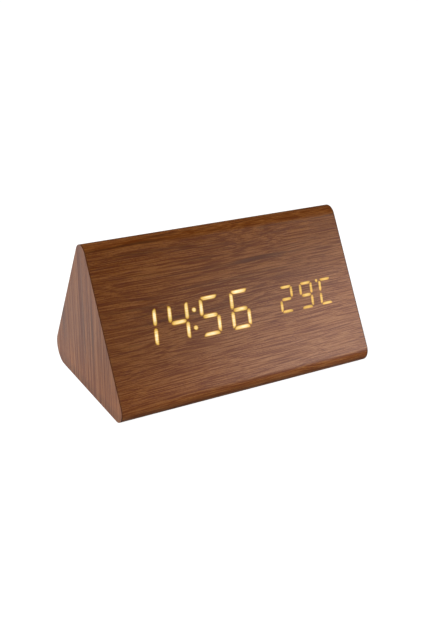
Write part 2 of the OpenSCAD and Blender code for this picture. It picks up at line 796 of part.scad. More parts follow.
// A cell lies along X with its nub at the end that its way points to
function cell_end(i) = cell_way[i] * (well_x / 2 - contact_t - contact_gap);
module cell(i) {
    color("goldenrod") on_base() translate([cell_end(i), cell_y[i], -cell_depth])
        rotate([0, -90 * cell_way[i], 0]) {
            cylinder(nub_l, r = nub_r);
            translate([0, 0, nub_l]) cylinder(cell_l - nub_l, r = cell_d / 2);
        }
}
module contact_plate(x_way, y, width) {
    translate([x_way * (well_x - contact_t) / 2, y, -cell_depth])
        cube([contact_t, width, contact_h], center = true);
}
module contact_plates() {
    color("silver") on_base() {
        contact_plate(1, (cell_y[0] + cell_y[1]) / 2, cell_pitch + contact_w);
        contact_plate(1, (cell_y[2] + cell_y[3]) / 2, cell_pitch + contact_w);
        contact_plate(-1, (cell_y[1] + cell_y[2]) / 2, cell_pitch + contact_w - 2 * cell_gap);
        for (i = [0, 3]) {
            contact_plate(-1, cell_y[i], contact_w);
            translate([-well_x / 2 - (tray_wall + tab_l) / 2 + contact_t / 2, cell_y[i], -cell_depth])
                cube([tray_wall + tab_l + contact_t, tab_w, contact_t], center = true);
        }
    }
}

// A tube of flat rings along a route, closed at both ends
function unit(v) = v / norm(v);
function heading(route, i) = unit(route[min(i + 1, len(route) - 1)] - route[max(i - 1, 0)]);
function ring(centre, along, r, sides, up) =
    let (side = unit(cross(along, up)), over = cross(side, along))
    [for (k = [0:sides - 1]) centre + r * (cos(360 * k / sides) * side + sin(360 * k / sides) * over)];
module tube(route, r, sides, up) {
    count = len(route);
    points = [for (i = [0:count - 1]) each ring(route[i], heading(route, i), r, sides, up)];
    faces = concat(
        [for (i = [0:count - 2], k = [0:sides - 1])
            let (n = (k + 1) % sides, a = i * sides, b = a + sides)
            each [[a + k, b + k, b + n], [a + k, b + n, a + n]]],
        [for (k = [1:sides - 2]) [0, k, k + 1]],
        [for (k = [1:sides - 2]) let (e = (count - 1) * sides) [e, e + k + 1, e + k]]
    );
    polyhedron(points, faces);
}
// A smooth curve through hand-placed points
function curve_point(a, b, c, d, t) =
    b + 0.5 * t * (c - a + t * (2 * a - 5 * b + 4 * c - d + t * (3 * b - a - 3 * c + d)));
function curve(points) =
    let (last = len(points) - 1)
    concat(
        [for (i = [0:last - 1], s = [0:lead_steps - 1])
            let (before = points[max(i - 1, 0)], after = points[min(i + 2, last)])
            curve_point(before, points[i], points[i + 1], after, s / lead_steps)],
        [points[last]]
    );

// Contact springs: conical coils whose wide end sits on the plate, drawn along Z
coil_l = spring_l - spring_wire;
function coil_route() =
    [for (i = [0:spring_turns * spring_rings])
        let (share = i / (spring_turns * spring_rings), angle = 360 * i / spring_rings,
            r = spring_wide_r + (spring_narrow_r - spring_wide_r) * share)
        [r * cos(angle), r * sin(angle), spring_wire / 2 + coil_l * share]];
function least_gap(route, apart, wire) =
    min([for (i = [0:len(route) - 1], j = [0:len(route) - 1])
        if (j - i >= apart) norm(route[j] - route[i]) - wire]);
echo(least_gap_between_coils = least_gap(coil_route(), spring_rings / 2, spring_wire));
module contact_springs() {
    color("silver") on_base() for (i = [0:3])
        translate([-cell_way[i] * (well_x / 2 - contact_t - contact_gap), cell_y[i], -cell_depth])
            rotate([0, 90 * cell_way[i], 0]) tube(coil_route(), spring_wire / 2, spring_sides, [0, 0, 1]);
}

module red_lead() {
    color("red") tube(curve(red_route), lead_r, lead_sides, [1, 0.2, 0.1]);
}
module black_lead() {
    color("black") tube(curve(black_route), lead_r, lead_sides, [1, 0.2, 0.1]);
}
module control_cable() {
    color("gray") tube(curve(cable_route), cable_r, lead_sides, [1, 0.2, 0.1]);
}

veneer_wrap();
front_board();
rear_board();
base_board();
end_panel(-1);  // left_end_panel
end_panel(1);  // right_end_panel
end_veneer(-1);  // left_end_veneer
end_veneer(1);  // right_end_veneer
foot_pads();
lit_segments();
diffuser_film();
reflector_block();
led_chips();
display_board();
display_screws();
controller_chip();
crystal_can();
capacitors();
buzzer();
wire_sockets();
control_panel();
panel_screws();
control_board();
control_screws();
cable_plug();
button(button_x[0]) bar_mark();  // set_button
button(button_x[1]) arrow_mark(-1);  // down_button
button(button_x[2]) arrow_mark(1);  // up_button
plunger(button_x[0]);  // set_plunger
plunger(button_x[1]);  // down_plunger
plunger(button_x[2]);  // up_plunger
switch_bodies();
power_jack();
jack_pin();
temperature_sensor();
battery_tray();
tray_screws();
battery_door();
contact_plates();
contact_springs();
cell(0);  // cell_1
cell(1);  // cell_2
cell(2);  // cell_3
cell(3);  // cell_4
red_lead();
black_lead();
control_cable();
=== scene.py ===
# %% [markdown]
# # A triangular wooden clock with digits of light
#
# The object is a desk clock: a three-sided case wrapped in walnut veneer, with amber LEDs behind its
# front face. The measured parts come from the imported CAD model, so nothing is moved or resized here.
# This lesson gives each part its finish, rebuilds the glowing digits as a finer mesh, and sets up a
# small photo studio round the clock.

# %% Load the measured parts
import math

import bmesh
import bpy
import numpy as np
from mathutils import Matrix, Vector


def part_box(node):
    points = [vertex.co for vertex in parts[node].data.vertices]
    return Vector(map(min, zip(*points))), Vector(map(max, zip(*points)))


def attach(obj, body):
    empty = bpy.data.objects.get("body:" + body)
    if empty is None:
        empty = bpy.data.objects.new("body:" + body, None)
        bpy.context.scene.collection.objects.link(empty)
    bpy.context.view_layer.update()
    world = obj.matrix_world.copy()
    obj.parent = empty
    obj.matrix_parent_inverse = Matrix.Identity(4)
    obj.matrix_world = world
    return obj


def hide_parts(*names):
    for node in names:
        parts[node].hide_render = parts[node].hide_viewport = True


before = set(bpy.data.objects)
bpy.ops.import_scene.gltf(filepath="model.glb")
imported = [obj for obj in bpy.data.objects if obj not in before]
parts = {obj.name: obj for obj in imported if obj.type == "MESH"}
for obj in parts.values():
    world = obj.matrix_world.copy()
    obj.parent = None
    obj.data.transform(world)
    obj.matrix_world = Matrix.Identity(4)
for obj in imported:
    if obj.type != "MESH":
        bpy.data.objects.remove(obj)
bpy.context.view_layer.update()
MM = 0.001

# %% [markdown]
# ## The camera
#
# A product picture like this is taken with a normal lens, from a little above and to the left of the
# clock. The direction, distance and lens below were found by fitting the case's outline to the picture,
# so the same edges land on the same pixels. The camera is slightly rolled, as a hand-held one is.
# The lens is given for a 36 mm sensor along the longer side of the frame, with no shift.

# %% Where the camera stands and looks
CAMERA_ANGLES = -29.528, 23.658, 0.709
AIM_POINT_MM = 0.0, 0.98827, 44.1013
CAMERA_BACK_MM = 492.979
CAMERA_RIGHT_MM = -0.853
CAMERA_UP_MM = -15.0045
turn, rise, roll = (math.radians(angle) for angle in CAMERA_ANGLES)
look_back = Vector((math.sin(turn) * math.cos(rise), -math.cos(turn) * math.cos(rise), math.sin(rise)))
level_right = Vector((math.cos(turn), math.sin(turn), 0.0))
level_up = look_back.cross(level_right)
cam_right = level_right * math.cos(roll) + level_up * math.sin(roll)
cam_up = level_up * math.cos(roll) - level_right * math.sin(roll)
from_aim_mm = look_back * CAMERA_BACK_MM + cam_right * CAMERA_RIGHT_MM + cam_up * CAMERA_UP_MM
cam_place = Vector(AIM_POINT_MM) * MM + from_aim_mm * MM
print("camera at", [round(c, 4) for c in cam_place])

# %% Camera
FRAME_LONG_SIDE = 631
FOCAL_PIXELS = 904.8
SENSOR_MM = 36.0
camera_data = bpy.data.cameras.new("studio_camera")
camera_data.lens = FOCAL_PIXELS / FRAME_LONG_SIDE * SENSOR_MM
camera_data.sensor_width = SENSOR_MM
camera_data.clip_start = 0.01
camera_data.clip_end = 50.0
camera = bpy.data.objects.new("studio_camera", camera_data)
camera.matrix_world = Matrix((
    (cam_right.x, cam_up.x, look_back.x, cam_place.x),
    (cam_right.y, cam_up.y, look_back.y, cam_place.y),
    (cam_right.z, cam_up.z, look_back.z, cam_place.z),
    (0.0, 0.0, 0.0, 1.0),
))
bpy.context.scene.collection.objects.link(camera)
bpy.context.scene.camera = camera
print("lens:", round(camera_data.lens, 2), "mm")

# %% [markdown]
# ## Helpers that add one node
#
# Writing node trees by hand is wordy, so small helpers do the repeated work. The first adds any node and
# fills its inputs: a value that is a socket gets linked, and a plain number or colour is set straight on
# the input. The others add the nodes that nearly every finish needs: sums, colour blends, colour ramps,
# a smooth change of range, a stretched position and a noise.

# %% Helper: any node
NODES_IN_ROW = 8
NODE_WIDTH = 220
NODE_HEIGHT = 260


def add_node(tree, kind, inputs=None, **settings):
    node = tree.nodes.new(kind)
    row, column = divmod(len(tree.nodes), NODES_IN_ROW)
    node.location = (NODE_WIDTH * column, -NODE_HEIGHT * row)
    for name, value in settings.items():
        setattr(node, name, value)
    for name, value in (inputs or {}).items():
        if isinstance(value, bpy.types.NodeSocket):
            tree.links.new(value, node.inputs[name])
        else:
            node.inputs[name].default_value = value
    return node


print("nodes are laid out in rows of", NODES_IN_ROW)

# %% Helpers: sums, colours and patterns
NOISE_COLOUR = 1


def calc(tree, operation, a, b=0.0):
    return add_node(tree, "ShaderNodeMath", {0: a, 1: b}, operation=operation).outputs[0]


def vector_calc(tree, operation, a, b):
    return add_node(tree, "ShaderNodeVectorMath", {0: a, 1: b}, operation=operation).outputs


def blend_colours(tree, factor, a, b, way="MIX"):
    # The Mix node lists its two colours as inputs 6 and 7, after those for numbers and vectors.
    node = add_node(tree, "ShaderNodeMix", {0: factor, 6: a, 7: b}, data_type="RGBA", blend_type=way)
    return node.outputs[2]


def ramp(tree, factor, stops):
    node = add_node(tree, "ShaderNodeValToRGB", {0: factor})
    elements = node.color_ramp.elements
    while len(elements) < len(stops):
        elements.new(0.5)
    for element, (place, colour) in zip(elements, stops):
        element.position = place
        element.color = (*colour, 1.0)
    return node.outputs[0]


def span(tree, value, low, high, to_low=0.0, to_high=1.0):
    limits = {0: value, 1: low, 2: high, 3: to_low, 4: to_high}
    return add_node(tree, "ShaderNodeMapRange", limits, interpolation_type="SMOOTHSTEP").outputs[0]


def stretched(tree, vector, scale):
    return add_node(tree, "ShaderNodeMapping", {"Vector": vector, "Scale": scale}).outputs[0]


def noise(tree, vector, scale=1.0, detail=2.0, roughness=0.5, output=0):
    settings = {"Vector": vector, "Scale": scale, "Detail": detail, "Roughness": roughness}
    return add_node(tree, "ShaderNodeTexNoise", settings).outputs[output]


node_helpers = calc, vector_calc, blend_colours, ramp, span, stretched, noise
print("node helpers:", ", ".join(helper.__name__ for helper in node_helpers))

# %% [markdown]
# ## Helpers for groups and finishes
#
# An effect that several finishes share, such as wood grain, is built once as a node group with named
# inputs and outputs. A finish is a material with one Principled shader: what is the same all over goes
# straight on the shader's sockets, and what changes over the surface is linked to them. Every finish
# reads its patterns from the part's own coordinates, so they stay on the part when it moves.

# %% Helpers: node groups
def new_group(name, inputs, outputs):
    tree = bpy.data.node_groups.new(name, "ShaderNodeTree")
    for label, kind, default in inputs:
        tree.interface.new_socket(name=label, in_out="INPUT", socket_type=kind).default_value = default
    for label in outputs:
        tree.interface.new_socket(name=label, in_out="OUTPUT", socket_type="NodeSocketFloat")
    return tree, tree.nodes.new("NodeGroupInput").outputs, tree.nodes.new("NodeGroupOutput").inputs


def use_group(tree, group, inputs):
    return add_node(tree, "ShaderNodeGroup", inputs, node_tree=group).outputs


print("group helpers:", new_group.__name__, "and", use_group.__name__)

# %% Helpers: finishes
def open_finish(finish):
    tree = finish.node_tree
    return tree, tree.nodes["Principled BSDF"], tree.nodes["Texture Coordinate"].outputs


def new_finish(name, **constants):
    finish = bpy.data.materials.new(name)
    finish.use_nodes = True
    finish.node_tree.nodes.new("ShaderNodeTexCoord")
    tree, shader, coords = open_finish(finish)
    for label, value in constants.items():
        shader.inputs[label.replace("_", " ")].default_value = value
    return finish, tree, shader, coords


def colour_of(shader):
    return shader.inputs["Base Color"].links[0].from_socket


def add_bump(tree, shader, height, depth_mm, strength):
    inputs = {"Height": height, "Strength": strength, "Distance": depth_mm * MM}
    tree.links.new(add_node(tree, "ShaderNodeBump", inputs).outputs[0], shader.inputs["Normal"])


def dress(finish, *names):
    for name in names:
        parts[name].material_slots[0].material = finish
    print(finish.name, "on", ", ".join(names))


finish_helpers = open_finish, new_finish, colour_of, add_bump, dress
print("finish helpers:", ", ".join(helper.__name__ for helper in finish_helpers))

# %% [markdown]
# ## Walnut figure: a position that wanders
#
# The figure of sliced walnut runs along the trunk, so the group takes a position whose X axis follows
# the grain. Straight stripes would look printed. Two noises, a slow wide one and a quicker narrow one,
# push the position sideways first, so that everything drawn on it wanders as it does in a real board.

# %% Node group: walnut figure, wandering position
METRES_TO_MM = (1000.0, 1000.0, 1000.0)
NOISE_MIDDLE = (0.5, 0.5, 0.5)
SLOW_WAVES, SLOW_REACH_MM = (0.006, 0.03, 0.03), 10.0
QUICK_WAVES, QUICK_REACH_MM = (0.028, 0.075, 0.075), 1.9
walnut_figure, given, put = new_group(
    "walnut_figure",
    [("Vector", "NodeSocketVector", (0.0, 0.0, 0.0)), ("Wander", "NodeSocketFloat", 1.0)],
    ["Bands", "Streaks", "Veins", "Pores", "Height"],
)
in_mm = vector_calc(walnut_figure, "MULTIPLY", given["Vector"], METRES_TO_MM)[0]


def sideways_drift(waves, reach):
    drift = noise(walnut_figure, stretched(walnut_figure, in_mm, waves), detail=1.0, output=NOISE_COLOUR)
    centred = vector_calc(walnut_figure, "SUBTRACT", drift, NOISE_MIDDLE)[0]
    return vector_calc(walnut_figure, "MULTIPLY", centred, (0.0, reach, reach))[0]


slow_drift = sideways_drift(SLOW_WAVES, SLOW_REACH_MM)
quick_drift = sideways_drift(QUICK_WAVES, QUICK_REACH_MM)
both_drifts = vector_calc(walnut_figure, "ADD", slow_drift, quick_drift)[0]
push_inputs = {0: both_drifts, "Scale": given["Wander"]}
push = add_node(walnut_figure, "ShaderNodeVectorMath", push_inputs, operation="SCALE").outputs[0]
wandered = vector_calc(walnut_figure, "ADD", in_mm, push)[0]
print("walnut_figure nodes so far:", len(walnut_figure.nodes))

# %% [markdown]
# ## Walnut figure: bands, streaks, veins and pores
#
# Walnut shows several things at once: broad bands of darker and lighter wood, fine streaks along the
# grain, single dark veins, and short dark pores as thin as a hair. Each is a noise stretched along the
# grain by its own amount. The pores are the peaks of two noises, long dashes and small specks. The group
# only gives these masks, and each finish decides what they colour. The wrapped veneer, the end veneers
# and the wood round the lit digits all use it.

# %% Node group: walnut figure, masks
def along_grain(per_mm_along, per_mm_across, detail=2.0, roughness=0.5):
    place = stretched(walnut_figure, wandered, (per_mm_along, per_mm_across, per_mm_across))
    return noise(walnut_figure, place, detail=detail, roughness=roughness)


bands = along_grain(0.006, 0.12, roughness=0.55)
streaks = along_grain(0.03, 2.5, roughness=0.55)
veins = along_grain(0.014, 0.5, detail=3.0, roughness=0.6)
dashes = span(walnut_figure, along_grain(0.09, 2.7, roughness=0.6), 0.53, 0.66)
specks = span(walnut_figure, along_grain(0.8, 3.0), 0.47, 0.7, 0.0, 0.9)
pores = calc(walnut_figure, "MAXIMUM", dashes, specks)
for label, mask in {
    "Bands": span(walnut_figure, bands, 0.3, 0.7),
    "Streaks": span(walnut_figure, streaks, 0.3, 0.7),
    "Veins": span(walnut_figure, veins, 0.52, 0.72),
    "Pores": pores,
    "Height": calc(walnut_figure, "SUBTRACT", streaks, pores),
}.items():
    walnut_figure.links.new(mask, put[label])
print("walnut_figure nodes:", len(walnut_figure.nodes))

# %% [markdown]
# ## Colours of the wood
#
# Under a thin satin lacquer walnut is a warm, quite dark brown. The grain chooses between three tones of
# it, and veins and pores are darker still. One sheet isn't the same all over: here the veins are bolder
# towards the upper left. A painted sheen, standing in for a lamp's soft reflection and light bounced up
# from the floor, makes the ground lighter towards the lower right, but not on the lowest rounded edge.
# Colour Dodge with a share of white lifts all three channels alike, so the hue stays.

# %% Wood colour
WALNUT_TONES = np.array(((0.142, 0.031, 0.0006), (0.222, 0.0675, 0.0075), (0.300, 0.110, 0.027)))
VEIN_TONE = (0.075, 0.020, 0.003, 1.0)
PORE_TONE = (0.096, 0.011, 0.0004, 1.0)
WHITE = (1.0, 1.0, 1.0, 1.0)
# How far the lines of equal tone rise for each step to the right.
SHEET_SLANT = 0.25
# Each range gives two inputs of a span, and then its outputs for them.
VEIN_RANGE = 25 * MM, 60 * MM, 0.04, 0.8
SHEEN_PAINT_RANGE = 55 * MM, 15 * MM, 0.0, 0.25
SHEEN_FOOT_RANGE = 3.5 * MM, 8.5 * MM, 0.0, 1.0
PORE_RANGE = 0.2, 0.8, 0.62, 0.42


def wood_and_painted_sheen(tree, figure, spot, grain, tone):
    height = calc(tree, "SUBTRACT", spot["Z"], calc(tree, "MULTIPLY", spot["X"], SHEET_SLANT))
    wood = ramp(tree, grain, list(zip((0.0, 0.5, 1.0), WALNUT_TONES * tone)))
    veined = calc(tree, "MULTIPLY", figure["Veins"], span(tree, height, *VEIN_RANGE))
    wood = blend_colours(tree, veined, wood, VEIN_TONE)
    open_pores = calc(tree, "MULTIPLY", figure["Pores"], span(tree, figure["Bands"], *PORE_RANGE))
    wood = blend_colours(tree, open_pores, wood, PORE_TONE)
    # Painted sheen: white dodged in towards the lower right for reflected and bounced light, stopping
    # above the lowest edge.
    painted_sheen = calc(tree, "MULTIPLY", span(tree, height, *SHEEN_PAINT_RANGE), span(tree, spot["Z"], *SHEEN_FOOT_RANGE))
    return blend_colours(tree, painted_sheen, wood, WHITE, "DODGE")


print("wood tones from", WALNUT_TONES[0], "to", WALNUT_TONES[-1])

# %% [markdown]
# ## Veneer round the case
#
# One sheet of veneer wraps the three long faces, so its grain runs along the case and carries on over the
# rounded edges. A solid pattern in object space does that by itself, with no seams.
# The grain also drives the gloss and a very shallow bump, because lacquer sinks into open pores. Most of
# what makes the front look lighter on one side is a lamp's soft reflection in the lacquer; the rest is the
# painted sheen in the wood colour.

# %% Finish: walnut veneer
GLOSS_RANGE = 0.0, 1.0, 0.37, 0.29
PORE_DEPTH_MM = 0.04
PORE_STRENGTH = 0.4
UPRIGHT_SCALE = (0.4, 0.5, 0.5)
NATURAL_TONE = (1.0, 1.0, 1.0)


def walnut(name, upright=False, wander=1.0, contrast=1.5, gloss=0.5, broad=0.07, tone=NATURAL_TONE):
    finish, tree, shader, coords = new_finish(name, Specular_IOR_Level=gloss)
    place = coords["Object"]
    spot = add_node(tree, "ShaderNodeSeparateXYZ", {0: place}).outputs
    if upright:
        swapped = add_node(tree, "ShaderNodeCombineXYZ", {0: spot["Z"], 1: spot["Y"], 2: spot["X"]})
        place = stretched(tree, swapped.outputs[0], UPRIGHT_SCALE)
    figure = use_group(tree, walnut_figure, {"Vector": place, "Wander": wander})
    broad_part = calc(tree, "MULTIPLY", figure["Bands"], broad)
    fine_part = calc(tree, "MULTIPLY", figure["Streaks"], 1.0 - broad)
    grain = calc(tree, "ADD", broad_part, fine_part)
    grain = span(tree, grain, 0.5 - 0.5 / contrast, 0.5 + 0.5 / contrast)
    tree.links.new(wood_and_painted_sheen(tree, figure, spot, grain, tone), shader.inputs["Base Color"])
    tree.links.new(span(tree, figure["Streaks"], *GLOSS_RANGE), shader.inputs["Roughness"])
    add_bump(tree, shader, figure["Height"], PORE_DEPTH_MM, PORE_STRENGTH)
    return finish


dress(walnut("walnut_veneer"), "veneer_wrap")

# %% [markdown]
# ## Veneer on the ends
#
# The two end caps are cut from the same wood with the grain standing upright. The same finish is reused
# with its axes swapped, so that the grain follows the height, and with a straighter figure of broader
# stripes in a slightly pinker tone. Their thin eased rims get painted shade: where a face no longer looks
# sideways, the colour turns to a plain dark brown with no figure, so the rim reads as a dark line even
# where a lamp lights it.

# %% Finish: end veneer
PINKER_TONE = (1.0, 0.95, 0.97)
RIM_SHADE_TONE = (0.105, 0.031, 0.0045, 1.0)
RIM_SHADE_RANGE = 0.95, 0.5, 0.0, 0.9
end_finish = walnut(
    "end_veneer", upright=True, wander=0.3, contrast=2.0, gloss=0.4, broad=0.3, tone=PINKER_TONE)
tree, shader, coords = open_finish(end_finish)
facing = add_node(tree, "ShaderNodeSeparateXYZ", {0: coords["Normal"]}).outputs["X"]
# Painted shade on the eased rims: faces that no longer look sideways turn plain dark brown.
painted_rim_shade = span(tree, calc(tree, "ABSOLUTE", facing), *RIM_SHADE_RANGE)
rim_shaded = blend_colours(tree, painted_rim_shade, colour_of(shader), RIM_SHADE_TONE)
tree.links.new(rim_shaded, shader.inputs["Base Color"])
dress(end_finish, "left_end_veneer", "right_end_veneer")

# %% [markdown]
# ## Eased edges
#
# No moulded or sanded edge is perfectly sharp, and the thin line of light along an edge is what makes a
# small part look real. The CAD parts keep their own meshes: a Weld modifier joins the split corners that
# the file format makes, and a Bevel modifier then rounds only the sharp edges by a tenth of a millimetre
# or two.

# %% Ease the edges of the CAD parts
EDGE_WIDTHS_MM = {
    "left_end_veneer": 0.14, "right_end_veneer": 0.14, "control_panel": 0.2, "battery_tray": 0.2,
    "battery_door": 0.2, "set_button": 0.1, "down_button": 0.1, "up_button": 0.1, "power_jack": 0.12,
    "foot_pads": 0.15,
}
SAME_CORNER = 1e-6
SHARP_ANGLE = math.radians(35.0)


def ease_edges(name, width_mm):
    weld = parts[name].modifiers.new("join_corners", "WELD")
    weld.merge_threshold = SAME_CORNER
    bevel = parts[name].modifiers.new("eased_edges", "BEVEL")
    bevel.width = width_mm * MM
    bevel.segments = 2
    bevel.limit_method = "ANGLE"
    bevel.angle_limit = SHARP_ANGLE
    bevel.use_clamp_overlap = True
    bevel.harden_normals = True


for name, width_mm in EDGE_WIDTHS_MM.items():
    ease_edges(name, width_mm)
print("edges eased:", len(EDGE_WIDTHS_MM), "parts")

# %% [markdown]
# ## Digits of light: the outlines
#
# Behind the veneer each segment of a digit is a small white well with one LED at its bottom. Seen
# through the wood, a segment is brightest in the middle, turns amber towards its outline and ends, and
# lets a little of the grain show. A flat emissive plate can't do that, so each CAD segment is rebuilt as
# a fine mesh that knows how much light reaches each spot. The first step reads the outlines: the CAD part
# is split into its separate plates, and the corners on the front face are put in order round each plate.

# %% Outlines of the lit segments, read from the CAD part
SAME_POINT = 1e-7
ON_FACE = 1e-5
slope = math.radians(60.0)
face_up = Vector((0.0, math.cos(slope), math.sin(slope)))
face_out = Vector((0.0, -math.sin(slope), math.cos(slope)))


def separate_plates(mesh):
    reader = bmesh.new()
    reader.from_mesh(mesh)
    bmesh.ops.remove_doubles(reader, verts=reader.verts, dist=SAME_POINT)
    seen = set()
    plates = []
    for start in reader.verts:
        queue = [] if start in seen else [start]
        seen.add(start)
        plate = []
        while queue:
            vertex = queue.pop()
            plate.append(vertex.co.copy())
            others = [edge.other_vert(vertex) for edge in vertex.link_edges]
            queue.extend(other for other in others if other not in seen)
            seen.update(others)
        if plate:
            plates.append(plate)
    reader.free()
    return plates


def outline_of(plate):
    flat = [(p.x, p.dot(face_up)) for p in plate if face_level - p.dot(face_out) < ON_FACE]
    middle = np.mean(flat, axis=0)
    flat.sort(key=lambda p: math.atan2(p[1] - middle[1], p[0] - middle[0]))
    return np.array(flat)


plates = separate_plates(parts["lit_segments"].data)
levels = [point.dot(face_out) for plate in plates for point in plate]
face_level = max(levels)
veneer_depth = face_level - min(levels)
outlines = sorted((outline_of(plate) for plate in plates), key=lambda o: tuple(o.mean(axis=0)))
print("lit segments and dots:", len(outlines), "veneer depth in mm:", round(veneer_depth / MM, 3))

# %% [markdown]
# ## Digits of light: how bright each spot is
#
# A spot is brighter the deeper it lies inside its segment. Taking the nearest wall alone would leave
# sharp creases where two walls meet, so a smooth minimum joins the distances to all of them. The light
# ends bluntly: slanted ends are let out a little, and a wall straight across the stroke cuts the points
# off, most of all a sharp tip. Light also falls off towards both ends of a stroke. The small digits of
# the temperature are dimmer than those of the time, and a dot, which has no ends, only fades at its rim.

# %% Distances inside an outline
def wall_directions(outline):
    runs = np.roll(outline, -1, axis=0) - outline
    return runs / np.linalg.norm(runs, axis=1)[:, None]


def inward_normals(outline):
    runs = wall_directions(outline)
    return np.stack([-runs[:, 1], runs[:, 0]], axis=1)


def wall_distances(points, outline):
    return np.einsum("pek,ek->pe", points[:, None, :] - outline[None], inward_normals(outline))


def grown(outline, by):
    inward = inward_normals(outline)
    level = np.einsum("ek,ek->e", inward, outline) - by
    pairs = [[i - 1, i] for i in range(len(outline))]
    shift = np.array([np.linalg.solve(inward[pair], level[pair]) for pair in pairs]) - outline
    reach = np.linalg.norm(shift, axis=1)[:, None]
    return outline + shift * np.minimum(1.0, by / reach)


print("corners of an outline:", sorted({len(outline) for outline in outlines}))

# %% Walls that end a stroke bluntly
END_REACH_MM = 0.25
END_TRIM = 0.1
TIP_TRIM = 0.7
END_WALL_LIMIT = 0.9
SHARP_TIP_LIMIT = -0.3
CORNER_SHARPNESS = 3.5


def smooth_minimum(walls):
    return -np.log(np.exp(-CORNER_SHARPNESS * walls).sum(axis=1)) / CORNER_SHARPNESS


def with_blunt_ends(walls, outline, axis, along, corners, narrow):
    runs = wall_directions(outline)
    slanted_end = np.abs(runs @ axis) < END_WALL_LIMIT
    sharp = (runs * np.roll(runs, 1, axis=0)).sum(axis=1) < SHARP_TIP_LIMIT
    cuts = [np.abs(corners).max() - END_TRIM * narrow - np.abs(along)]
    cuts += [abs(tip) - TIP_TRIM * narrow - np.sign(tip) * along for tip in corners[sharp]]
    return np.column_stack([walls + END_REACH_MM * slanted_end] + [cut + END_REACH_MM for cut in cuts])


print("two walls 1 mm away count as one at", round(smooth_minimum(np.ones((1, 2)))[0], 2), "mm")

# %% Light inside one segment
STROKE_ASPECT = 2.0
END_FADE, END_FADE_POWER = 0.75, 2.3
DOT_LEVEL = 0.95
TIME_HALF_WIDTH_MM = 1.1
TIME_RIM, TIME_LEVEL = 0.56, 0.95
TEMPERATURE_RIM, TEMPERATURE_LEVEL = 0.45, 0.61


def light_in_segment(points, outline):
    walls = wall_distances(points, outline) / MM
    spread = outline - outline.mean(axis=0)
    axis = np.linalg.svd(spread)[2][0]
    ends = outline @ axis
    middle = (ends.min() + ends.max()) / 2.0
    half = (ends.max() - ends.min()) / 2.0 / MM
    narrow = np.abs(spread @ np.array((-axis[1], axis[0]))).max() / MM
    along = (points @ axis - middle) / MM
    if half > STROKE_ASPECT * narrow:
        corners = (ends - middle) / MM
        depth = smooth_minimum(with_blunt_ends(walls, outline, axis, along, corners, narrow))
        level = 1.0 - END_FADE * (np.abs(along) / half) ** END_FADE_POWER
    else:
        depth = walls.min(axis=1)
        level = DOT_LEVEL
    of_time = narrow > TIME_HALF_WIDTH_MM
    rim_share, power = (TIME_RIM, TIME_LEVEL) if of_time else (TEMPERATURE_RIM, TEMPERATURE_LEVEL)
    rim = np.clip(depth / (rim_share * narrow), 0.0, 1.0)
    return rim * rim * (3.0 - 2.0 * rim) * level * power


middles = [light_in_segment(outline.mean(axis=0)[None], outline)[0] for outline in outlines]
print("light in the middles from", round(min(middles), 2), "to", round(max(middles), 2))

# %% [markdown]
# ## Digits of light: the mesh
#
# Each outline is grown by a quarter of a millimetre, because light spreads in the wood, and then cut
# into triangles until no edge is longer than a third of a millimetre. The plate gets a bottom and walls
# as deep as the veneer, and stands proud of it by a hair, so that the two surfaces don't flicker. Every
# point stores its light in an attribute named glow, which the finish reads.

# %% One outline cut into fine triangles
FINE_EDGE = 0.32 * MM
MOST_HALVINGS = 8


def fine_plate(outline):
    plate = bmesh.new()
    corners = [plate.verts.new((x, height, 0.0)) for x, height in outline]
    bmesh.ops.triangulate(plate, faces=[plate.faces.new(corners)])
    for _ in range(MOST_HALVINGS):
        long_edges = [edge for edge in plate.edges if edge.calc_length() > FINE_EDGE]
        if not long_edges:
            break
        bmesh.ops.subdivide_edges(plate, edges=long_edges, cuts=1)
        bmesh.ops.triangulate(plate, faces=[face for face in plate.faces if len(face.verts) > 3])
    plate.verts.index_update()
    return plate


first_plate = fine_plate(outlines[0])
print("triangles in the first outline:", len(first_plate.faces))
first_plate.free()

# %% Mesh of the lit digits
LIGHT_SPREAD = 0.26 * MM
PROUD = 0.015 * MM


def add_segment(solid, glow_layer, well):
    outline = grown(well, LIGHT_SPREAD)
    plate = fine_plate(outline)
    flat = np.array([vertex.co.xy for vertex in plate.verts])
    top = []
    low = []
    for (x, height), light in zip(flat, light_in_segment(flat, outline)):
        for level, row in ((face_level + PROUD, top), (face_level - veneer_depth, low)):
            point = solid.verts.new(Vector((x, 0.0, 0.0)) + face_up * height + face_out * level)
            point[glow_layer] = float(light)
            row.append(point)
    for face in plate.faces:
        order = [vertex.index for vertex in face.verts]
        solid.faces.new([top[i] for i in order])
        solid.faces.new([low[i] for i in reversed(order)])
    for edge in plate.edges:
        if edge.is_boundary:
            loop = edge.link_loops[0]
            a, b = loop.vert.index, loop.link_loop_next.vert.index
            solid.faces.new([top[b], top[a], low[a], low[b]])
    plate.free()


digits_solid = bmesh.new()
glow_layer = digits_solid.verts.layers.float.new("glow")
for well in outlines:
    add_segment(digits_solid, glow_layer, well)
bmesh.ops.recalc_face_normals(digits_solid, faces=digits_solid.faces)
digit_data = bpy.data.meshes.new("lit_digits")
digits_solid.to_mesh(digit_data)
digits_solid.free()
print("lit digits:", len(digit_data.vertices), "points,", len(digit_data.polygons), "faces")

# %% Put the lit digits in place of the CAD segments
lit_digits = bpy.data.objects.new("lit_digits", digit_data)
bpy.context.scene.collection.objects.link(lit_digits)
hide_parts("lit_segments")
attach(lit_digits, "case")
print(lit_digits.name, "stands for lit_segments and rides on the case")

# %% [markdown]
# ## Digits of light: the glow itself
#
# The light that leaves a segment is pale yellow where it is strongest, because the eye and the camera
# both saturate there, and falls to a deep amber where the wood holds most of it back. A colour ramp
# turns the stored glow into that series of colours. The walnut streaks and a coarse noise make it uneven.
# Where no light comes through, at the blunt ends and round the rim, the surface is the same walnut as its
# surroundings.

